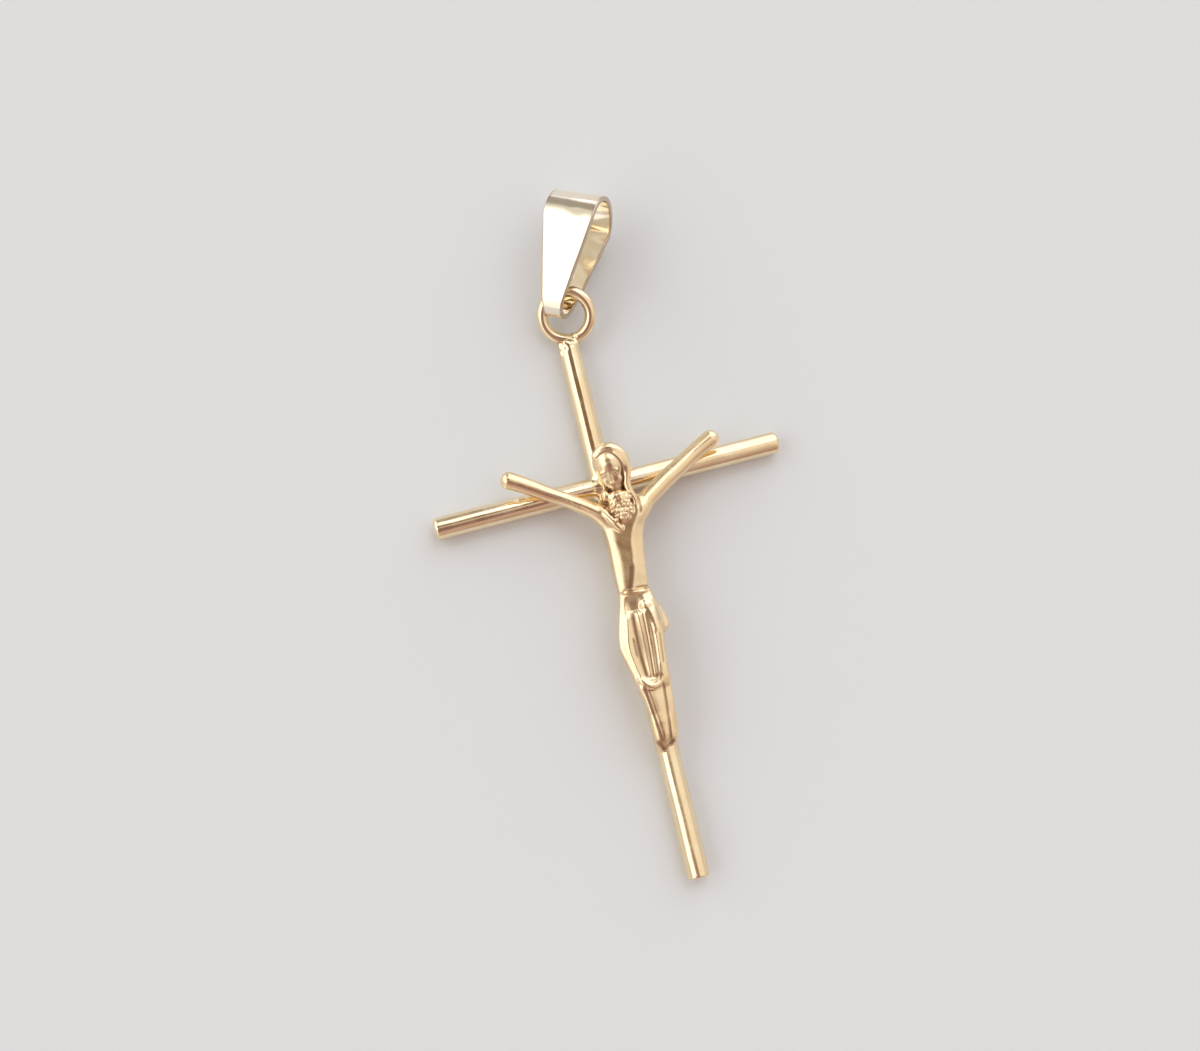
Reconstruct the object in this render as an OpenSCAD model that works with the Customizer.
// Cross pendant lying on its back: a round-rod cross with a soldered ring, a cast figure and a folded bail

/* [Cross] */
// Thickness of the round rods
rod_d = 1.4; // [1.2:0.05:1.8]
// Upright above the middle of the crossbar
upright_above = 9.45; // [7:0.1:14]
// Upright below the middle of the crossbar
upright_below = 24.5; // [20:0.5:34]
// Crossbar to the viewer's left of the upright
bar_left = 10.8; // [9:0.1:14]
// Crossbar to the viewer's right of the upright
bar_right = 11.5; // [10:0.1:14]
// How far the soldered crossbar is out of square, right end up
bar_skew = 1.8; // [0:0.2:3]
// Rounding of the polished rod ends
end_round = 0.3; // [0.1:0.05:0.4]
// Bevel at the square-cut foot
foot_bevel = 0.12; // [0.05:0.01:0.25]

/* [Ring] */
// Thickness of the ring's wire
ring_wire = 0.75; // [0.6:0.05:0.9]
// Inner width of the ring
ring_bore = 2.28; // [2:0.1:3]
// How deep the solder sinks the ring into the end of the upright
solder_lap = 0.2; // [0.12:0.02:0.3]
// How far the ring is soldered off to the right, in degrees
ring_lean = 12; // [0:1:20]
// How far the ring is rolled, right side up, in degrees
ring_roll = 9.5; // [7:0.5:12]

/* [Bail] */
// Length of the bail from its fold to its top
bail_length = 8; // [7:0.1:9.5]
// Depth of the bail's loop at the top
bail_depth = 4; // [3.4:0.05:4.6]
// Thickness of the bail's sheet
bail_sheet = 0.32; // [0.25:0.01:0.4]
// Width of the bail's band at the top
bail_top_w = 3.3; // [2.6:0.1:4]
// Width of the bail's band at the fold
bail_fold_w = 1.1; // [0.8:0.05:1.3]
// Room round the ring's wire in the bail's fold
bail_play = 0.52; // [0.48:0.02:0.8]
// How far the ring's wire lies up from the middle of the fold
bail_slack = 0.53; // [0.4:0.01:0.8]
// How much nearer the back leg than the front one the wire lies
wire_back = 0.24; // [0:0.02:0.28]
// How far the bail leans to the right of the upright, in degrees
bail_lean = 26.5; // [15:0.5:35]
// How far the bail's top end is raised, in degrees
bail_pitch = 5.5; // [4:0.5:10]
// How far the bail is turned about its length, right side up, in degrees
bail_yaw = 21.5; // [18:0.5:25]

/* [Figure] */
// Length of the torso from the neck to the waist
torso_len = 6.3; // [5:0.1:8]
// Width of the torso at the waist
waist_w = 1.9; // [1.6:0.05:2.4]
// Length of the loincloth from its waistband to its hem
cloth_len = 5.9; // [5:0.1:7]
// Width of the loincloth at the hips
hip_w = 2.9; // [2.4:0.05:3.4]
// Length of the legs from the hem to the toes
leg_len = 4; // [3:0.1:5.5]
// Width of the legs at the hem
leg_w = 2.05; // [1.7:0.05:2.5]
// Height of the body above the back of the rods
body_depth = 1.35; // [1.1:0.05:1.8]
// Thickness of the arms
arm_d = 1.08; // [0.8:0.02:1.3]
// Reach of the viewer's left arm, sideways from the shoulder
left_reach = 5.3; // [5:0.05:6.5]
// Rise of the viewer's left hand above the shoulder
left_rise = 3.1; // [2.8:0.05:3.8]
// Reach of the viewer's right arm, sideways from the shoulder
right_reach = 5.4; // [5:0.05:6.5]
// Rise of the viewer's right hand above the shoulder
right_rise = 3.65; // [3.2:0.05:4.4]
// Width of the head
head_w = 2.15; // [1.8:0.05:2.6]
// Height of the head from crown to chin
head_h = 3.3; // [2.8:0.05:3.8]
// Length of the beard below the chin
beard_len = 1.8; // [1.2:0.05:2.4]
// How far the head bows forward, in degrees
head_bow = 24; // [10:1:35]
// How far the head leans to the viewer's left, in degrees
head_lean = 10; // [0:1:20]
// How far the figure is turned clockwise on the cross, in degrees
figure_turn = 3.1; // [0:0.1:5]
// Hairline gap between the casting and the rods
seat_gap = 0.02; // [0.01:0.01:0.05]

/* [Hidden] */

gold = "#e2b866";
warm_gold = "#d8a860";
pale_gold = "#ead08e";

rod_r = rod_d / 2;
// Facets of the rods, the ring's wire, the body, the arms, the skull and hair, the neck and small forms
fine = 64;
wire_sides = 32;
sides = 36;
arm_sides = 20;
egg_sides = 32;
neck_sides = 24;
small_sides = 14;

function turn_x(a) = [[1, 0, 0], [0, cos(a), -sin(a)], [0, sin(a), cos(a)]];
function turn_y(a) = [[cos(a), 0, sin(a)], [0, 1, 0], [-sin(a), 0, cos(a)]];
function turn_z(a) = [[cos(a), -sin(a), 0], [sin(a), cos(a), 0], [0, 0, 1]];

// The bail's loop: two arcs joined by straight legs, seen from its side
fold_in = ring_wire / 2 + bail_play;
fold_out = fold_in + bail_sheet;
top_out = bail_depth / 2;
arc_gap = bail_length - top_out - fold_out;
leg_slope = asin((top_out - fold_out) / arc_gap);
bail_turn = turn_z(-bail_lean) * turn_x(bail_pitch) * turn_y(-bail_yaw);

// Half the width of the bail's band at a height above the middle of the fold
function bail_half(y) =
    (bail_fold_w + (bail_top_w - bail_fold_w) * min(1, (y + fold_out) / (arc_gap + fold_out))) / 2;

// The loop's outer edge, from which its lowest and its furthest point are taken
loop_edge = [for (side = [-1, 1], at = [[0, fold_out], [arc_gap, top_out]], a = [0 : 2 : 358])
    let (y = at[0] + at[1] * sin(a)) bail_turn * [side * bail_half(y), y, at[1] * cos(a)]];
bail_low = min([for (p = loop_edge) p[2]]);
bail_far = max([for (p = loop_edge) p[1]]);

// Where the ring's wire lies in the loop, and how high that is above the table
wire_in_bail = bail_turn * [0, bail_slack, -wire_back];
wire_z = wire_in_bail[2] - bail_low;

// The ring is tilted up just so far that the bail rests on the table
ring_mean = (ring_bore + ring_wire) / 2;
// The bail hangs a little to the left of the ring's top, in degrees
hook_turn = 6;
ring_reach = ring_mean + ring_wire / 2 - solder_lap;
hook_x = -ring_mean * sin(hook_turn);
hook_y = ring_reach + ring_mean * cos(hook_turn);
ring_tilt = asin((wire_z - rod_r - hook_x * sin(ring_roll)) / (hook_y * cos(ring_roll)));
ring_turn = turn_z(-ring_lean) * turn_y(-ring_roll) * turn_x(ring_tilt);
hook = [0, upright_above, rod_r] + ring_turn * [hook_x, hook_y, 0];
bail_at = hook - wire_in_bail;

// The pendant's middle, which is set over the origin
middle_x = (bar_right - bar_left) * cos(bar_skew) / 2;
middle_y = (bail_at[1] + bail_far - upright_below) / 2;

// A round rod along X whose two ends are rounded by a quarter arc
module rod(left, right, round_left, round_right) {
    rotate([0, 90, 0]) rotate_extrude($fn = fine)
        polygon(concat(
            [[0, -left]],
            [for (a = [0 : 15 : 90]) [rod_r - round_left + round_left * sin(a), -left + round_left * (1 - cos(a))]],
            [for (a = [90 : -15 : 0]) [rod_r - round_right + round_right * sin(a), right - round_right * (1 - cos(a))]],
            [[0, right]]));
}

module ring() {
    translate([0, upright_above, rod_r]) rotate([0, 0, -ring_lean]) rotate([0, -ring_roll, 0])
        rotate([ring_tilt, 0, 0]) translate([0, ring_reach, 0])
            rotate_extrude($fn = fine) translate([ring_mean, 0]) circle(d = ring_wire, $fn = wire_sides);
}

module cross() {
    color(gold) translate([-middle_x, -middle_y, 0]) {
        translate([0, 0, rod_r]) rotate([0, 0, 90]) rod(upright_below, upright_above, foot_bevel, end_round);
        translate([0, 0, rod_r]) rotate([0, 0, bar_skew]) rod(bar_left, bar_right, end_round, end_round);
        ring();
    }
}

// The solid inside the loop's outer or inner face: two cylinders joined by a block between their tangents
module loop_solid(fold_radius, top_radius, width) {
    touch = [for (side = [1, -1]) for (at = side > 0 ? [[0, fold_radius], [arc_gap, top_radius]] :
        [[arc_gap, top_radius], [0, fold_radius]])
        [at[0] - at[1] * sin(leg_slope), side * at[1] * cos(leg_slope)]];
    linear_extrude(width, center = true) polygon(touch);
    cylinder(r = fold_radius, h = width, center = true, $fn = fine);
    translate([arc_gap, 0, 0]) cylinder(r = top_radius, h = width, center = true, $fn = fine);
}

module bail_band() {
    rotate([90, 0, 90]) difference() {
        loop_solid(fold_out, top_out, bail_top_w);
        loop_solid(fold_in, top_out - bail_sheet, 2 * bail_top_w);
    }
}

module bail_taper() {
    linear_extrude(2 * bail_depth, center = true)
        polygon([for (side = [-1, 1]) for (y = side < 0 ? [-fold_out, arc_gap, bail_length] :
            [bail_length, arc_gap, -fold_out]) [side * bail_half(y), y]]);
}

module bail() {
    color(pale_gold) translate([bail_at[0] - middle_x, bail_at[1] - middle_y, bail_at[2]])
        rotate([0, 0, -bail_lean]) rotate([bail_pitch, 0, 0]) rotate([0, -bail_yaw, 0])
            intersection() {
                bail_band();
                bail_taper();
            }
}

// Heights of the figure, counted down from the middle of the crossbar
neck_drop = 0.6;
neck_y = -neck_drop;
waist_y = neck_y - torso_len;
// The torso runs on into the waistband by this much
tuck = 0.3;
cloth_y = waist_y + tuck / 2;
hem_y = cloth_y - cloth_len;
toe_y = hem_y - leg_len;
// The toes lie a little to the left of the upright's middle
toe_off = 0.35;
toe_x = -toe_off;

// One section across the body: a squarish oval whose front may be dished by a lengthwise groove
function section(y, mid, half_w, front, back, square, dish, dish_w) = [
    for (i = [0 : sides - 1])
        let (a = 360 * i / sides, c = cos(a), s = sin(a),
             x = half_w * sign(c) * pow(abs(c), square),
             z = (front + back) / 2 + (front - back) / 2 * sign(s) * pow(abs(s), square),
             g = s > 0 ? dish * exp(-pow(x / dish_w, 2)) : 0)
        [mid + x, y, z - g]];

// A closed skin through a row of sections, each with the same number of points
module skin(rows) {
    n = len(rows[0]);
    last = len(rows) - 1;
    polyhedron(
        points = [for (row = rows) for (p = row) p],
        faces = concat(
            [[for (j = [0 : n - 1]) j]],
            [for (i = [0 : last - 1]) for (j = [0 : n - 1])
                let (k = (j + 1) % n) each [
                    [i * n + j, (i + 1) * n + j, (i + 1) * n + k],
                    [i * n + j, (i + 1) * n + k, i * n + k]]],
            [[for (j = [n - 1 : -1 : 0]) last * n + j]]));
}

function unit(v) = v / norm(v);

// The rings of a round tube along a path, each square to the path, with its own radius
function tube_rings(path, radii, n) = [
    for (i = [0 : len(path) - 1])
        let (along = unit(path[min(i + 1, len(path) - 1)] - path[max(i - 1, 0)]),
             side = unit(cross([0, 0, 1], along)),
             up = cross(along, side))
        [for (j = [0 : n - 1]) path[i] + radii[i] * (cos(360 * j / n) * side + sin(360 * j / n) * up)]];

// The body's front and back as heights above the table: its back is saddled on the rods by this depth
saddle = 0.15;
body_back = rod_d - saddle;
function lift(share) = rod_d + body_depth * share;

// Torso: share of its length from the neck, shift and half width as shares of the waist,
// front as a share of the body's depth, depth of the belly's groove
torso_rows = [
    // down, shift, half, front, groove
    [0.00, 0.03, 0.40, 0.60, 0.00],
    [0.07, 0.04, 0.58, 0.78, 0.00],
    [0.13, 0.06, 0.76, 0.88, 0.00],
    [0.18, 0.08, 0.90, 0.95, 0.00],
    [0.22, 0.08, 0.90, 0.97, 0.01],
    [0.26, 0.07, 0.82, 0.98, 0.03],
    [0.31, 0.04, 0.72, 0.98, 0.05],
    [0.38, 0.02, 0.63, 0.96, 0.07],
    [0.52, -0.01, 0.56, 0.92, 0.09],
    [0.64, -0.02, 0.54, 0.88, 0.11],
    [0.80, -0.02, 0.51, 0.84, 0.15],
    [0.92, -0.03, 0.50, 0.82, 0.19],
    [1.00, -0.03, 0.50, 0.80, 0.15],
];

module torso() {
    skin([for (r = torso_rows)
        section(neck_y - r[0] * (torso_len + tuck), r[1] * waist_w, r[2] * waist_w, lift(r[3]),
            body_back, 0.85, r[4] * body_depth, 0.22 * waist_w)]);
}

// Loincloth: share of its length, shift and half width as shares of the hips, front as a share of the
// depth, and how deep its lengthwise folds are
cloth_rows = [
    // down, shift, half, front, fold
    [0.00, -0.02, 0.32, 0.86, 0.00],
    [0.02, -0.02, 0.35, 0.97, 0.00],
    [0.06, -0.02, 0.35, 0.97, 0.00],
    [0.09, -0.02, 0.36, 0.89, 0.02],
    [0.18, -0.03, 0.40, 0.92, 0.04],
    [0.28, -0.04, 0.44, 0.97, 0.07],
    [0.40, -0.06, 0.47, 1.02, 0.08],
    [0.52, -0.08, 0.49, 1.04, 0.08],
    [0.62, -0.08, 0.48, 1.04, 0.08],
    [0.74, -0.05, 0.44, 1.02, 0.07],
    [0.86, -0.02, 0.40, 0.98, 0.05],
    [0.93, -0.01, 0.37, 0.92, 0.02],
    [0.95, -0.01, 0.38, 0.98, 0.00],
    [0.99, 0.00, 0.37, 0.98, 0.00],
    [1.00, 0.00, 0.35, 0.86, 0.00],
];
fold_count = 4;

// A section of the loincloth, its front pleated inside the lozenge between the hips
function pleated(y, mid, half_w, front, back, depth) = [
    for (i = [0 : sides - 1])
        let (a = 360 * i / sides, c = cos(a), s = sin(a),
             x = half_w * sign(c) * pow(abs(c), 0.85),
             z = (front + back) / 2 + (front - back) / 2 * sign(s) * pow(abs(s), 0.85),
             inside = max(0, 1 - pow(x / (0.72 * half_w), 2)),
             g = s > 0 ? depth * inside * (1 + cos(360 * fold_count * (x / half_w + 1) / 2)) : 0)
        [mid + x, y, z - g]];

module loincloth() {
    skin([for (r = cloth_rows)
        pleated(cloth_y - r[0] * cloth_len, r[1] * hip_w, r[2] * hip_w, lift(r[3]), body_back,
            r[4] * body_depth)]);
}

// The knot on the hip and the cloth end that hangs from it: along, out and thickness as shares of the hips
knot_rows = [
    // along, out, thick
    [-0.40, 0.20, 0.10],
    [-0.50, 0.27, 0.22],
    [-0.62, 0.35, 0.27],
    [-0.74, 0.42, 0.29],
    [-0.85, 0.45, 0.27],
    [-0.95, 0.43, 0.19],
    [-1.02, 0.41, 0.06],
];

module knot() {
    skin(tube_rings(
        [for (r = knot_rows) [r[1] * hip_w, cloth_y + r[0] * hip_w, lift(0.55)]],
        [for (r = knot_rows) r[2] * hip_w / 2], small_sides));
}

// Legs: share of their length from the hem, shift and half width as shares of the leg width,
// front and underside as shares of the depth, depth of the groove between the legs
leg_rows = [
    // down, shift, half, front, under, groove
    [-0.10, 0.00, 0.50, 0.90, 0.00, 0.06],
    [0.05, 0.01, 0.50, 0.93, 0.00, 0.10],
    [0.20, 0.03, 0.46, 0.90, 0.00, 0.12],
    [0.40, 0.06, 0.42, 0.79, 0.00, 0.12],
    [0.60, 0.08, 0.38, 0.68, 0.00, 0.12],
    [0.78, 0.09, 0.35, 0.62, 0.02, 0.12],
    [0.88, 0.09, 0.34, 0.62, 0.06, 0.11],
    [0.95, 0.10, 0.28, 0.60, 0.14, 0.08],
    [0.99, 0.10, 0.18, 0.54, 0.24, 0.03],
    [1.00, 0.10, 0.06, 0.46, 0.34, 0.00],
];

module legs() {
    skin([for (r = leg_rows)
        section(hem_y - r[0] * leg_len, r[1] * leg_w, r[2] * leg_w, lift(r[3]),
            body_back + r[4] * body_depth, 0.9, r[5] * body_depth, 0.12 * leg_w)]);
}

// An arm: reach, rise and height as shares, thickness as a share of the arm's on each side
arm_rows = [
    // out, up, high, left, right
    [-0.14, -0.16, 0.90, 0.60, 0.60],
    [-0.07, -0.08, 0.95, 0.92, 1.00],
    [0.02, 0.02, 0.95, 0.95, 1.06],
    [0.12, 0.15, 0.75, 0.92, 1.06],
    [0.24, 0.28, 0.45, 0.86, 1.06],
    [0.38, 0.43, 0.20, 0.82, 1.05],
    [0.54, 0.58, 0.04, 0.83, 1.03],
    [0.70, 0.74, 0.00, 0.89, 0.99],
    [0.84, 0.87, 0.05, 0.95, 1.00],
    [0.97, 0.98, 0.10, 1.02, 1.05],
    [1.03, 1.03, 0.12, 0.99, 1.00],
    [1.06, 1.055, 0.12, 0.80, 0.80],
    [1.07, 1.065, 0.12, 0.40, 0.40],
];
left_column = 3;
right_column = 4;
shoulder_x = 0.63 * waist_w;
shoulder_y = neck_y - 0.21 * torso_len;
// Height of the shoulders over the arms' middle, and the depth by which the arms sink on the rods
shoulder_up = 0.3;
arm_seat = 0.1;

module arm(reach, rise, column) {
    skin(tube_rings(
        [for (r = arm_rows) [shoulder_x + r[0] * reach, shoulder_y + r[1] * rise,
            rod_d + arm_d / 2 - arm_seat + r[2] * shoulder_up]],
        [for (r = arm_rows) arm_d * r[column] / 2], arm_sides));
}

// The head, in its own frame: X to the viewer's right, Y to the crown, Z to the front
head_off = 0.12;
head_x = -head_off;
head_y = 0.62;
head_clear = 0.05;
head_z = rod_d + head_clear + head_w / 2;

module egg(x, y, z, w, h, d, n) {
    translate([x * head_w, y * head_h, z * head_w]) scale([w * head_w, h * head_h, d * head_w])
        sphere(d = 1, $fn = n);
}

module skull() {
    hull() {
        egg(0, 0.13, -0.02, 0.92, 0.66, 0.98, egg_sides);
        egg(0, -0.24, 0.10, 0.58, 0.46, 0.66, egg_sides);
    }
}

module face() {
    // brow, nose, closed lids, cheeks and mouth as low rounded forms
    hull() for (x = [-0.17, 0.17]) egg(x, 0.06, 0.41, 0.20, 0.06, 0.10, small_sides);
    hull() {
        egg(0, 0.05, 0.45, 0.07, 0.05, 0.08, small_sides);
        egg(0, -0.12, 0.50, 0.12, 0.07, 0.14, small_sides);
    }
    for (x = [-0.18, 0.18]) egg(x, -0.01, 0.40, 0.17, 0.06, 0.10, small_sides);
    egg(0, -0.225, 0.45, 0.20, 0.035, 0.08, small_sides);
}

module hair() {
    // the cap, parted from the face, and the locks that fall to the shoulders
    difference() {
        egg(0, 0.14, -0.06, 1.06, 0.76, 1.08, egg_sides);
        translate([0, -0.08 * head_h, 0.36 * head_w])
            scale([0.80 * head_w, 0.78 * head_h, 0.62 * head_w]) sphere(d = 1, $fn = egg_sides);
    }
    for (side = [-1, 1]) {
        hull() {
            egg(side * 0.46, 0.12, 0.02, 0.20, 0.20, 0.44, small_sides);
            egg(side * 0.40, -0.26, 0.02, 0.24, 0.20, 0.42, small_sides);
        }
        hull() {
            egg(side * 0.40, -0.26, 0.02, 0.24, 0.20, 0.42, small_sides);
            egg(side * 0.30, -0.52, 0.04, 0.30, 0.16, 0.38, small_sides);
        }
    }
}

module head() {
    translate([head_x, head_y, head_z]) rotate([0, 0, head_lean]) rotate([head_bow, 0, 0]) {
        skull();
        face();
        hair();
    }
}

// The beard leaves the jaw, lies on the breast to its own length below the chin and ends in a round tip
beard_tip = 0.9;
jaw_y = head_y - head_h * cos(head_bow) / 3;
chin_y = head_y - head_h * cos(head_bow) / 2;

module beard() {
    hull() {
        for (x = [-0.18, 0.22])
            translate([x * head_w, jaw_y, lift(1.02)])
                scale([0.38 * head_w, 0.20 * head_h, 0.40 * head_w]) sphere(d = 1, $fn = small_sides);
        translate([0.04 * head_w, chin_y - beard_len + beard_tip / 2, lift(0.93)])
            scale([0.50 * head_w, beard_tip, 0.36 * head_w]) sphere(d = 1, $fn = small_sides);
    }
}

// The neck, which fills the room between jaw, locks and breast, and the lock that lies across the breast
module neck() {
    hull() {
        translate([0, jaw_y, lift(0.55)]) scale([0.78 * head_w, 0.5 * head_w, 0.62 * head_w])
            sphere(d = 1, $fn = neck_sides);
        translate([0.03 * waist_w, neck_y - 0.13 * torso_len, lift(0.4)])
            sphere(d = 0.6 * head_w, $fn = neck_sides);
    }
    hull() {
        translate([-0.45 * waist_w, neck_y - 0.21 * torso_len, lift(0.86)])
            sphere(d = 0.19 * waist_w, $fn = small_sides);
        translate([-0.08 * waist_w, neck_y - 0.38 * torso_len, lift(0.90)])
            sphere(d = 0.14 * waist_w, $fn = small_sides);
    }
}

module rod_seats() {
    translate([0, 0, rod_r]) rotate([90, 0, 0])
        cylinder(r = rod_r + seat_gap, h = 2 * upright_below, center = true, $fn = fine);
    translate([0, 0, rod_r]) rotate([0, 90, bar_skew])
        cylinder(r = rod_r + seat_gap, h = 2 * (bar_left + bar_right), center = true, $fn = fine);
}

module figure() {
    color(warm_gold) translate([-middle_x, -middle_y, 0]) difference() {
        translate([toe_x, toe_y, 0]) rotate([0, 0, -figure_turn]) translate([0, -toe_y, 0]) {
            torso();
            loincloth();
            knot();
            legs();
            arm(right_reach, right_rise, right_column);
            mirror([1, 0, 0]) arm(left_reach, left_rise, left_column);
            neck();
            head();
            beard();
        }
        rod_seats();
    }
}

cross();
figure();
bail();
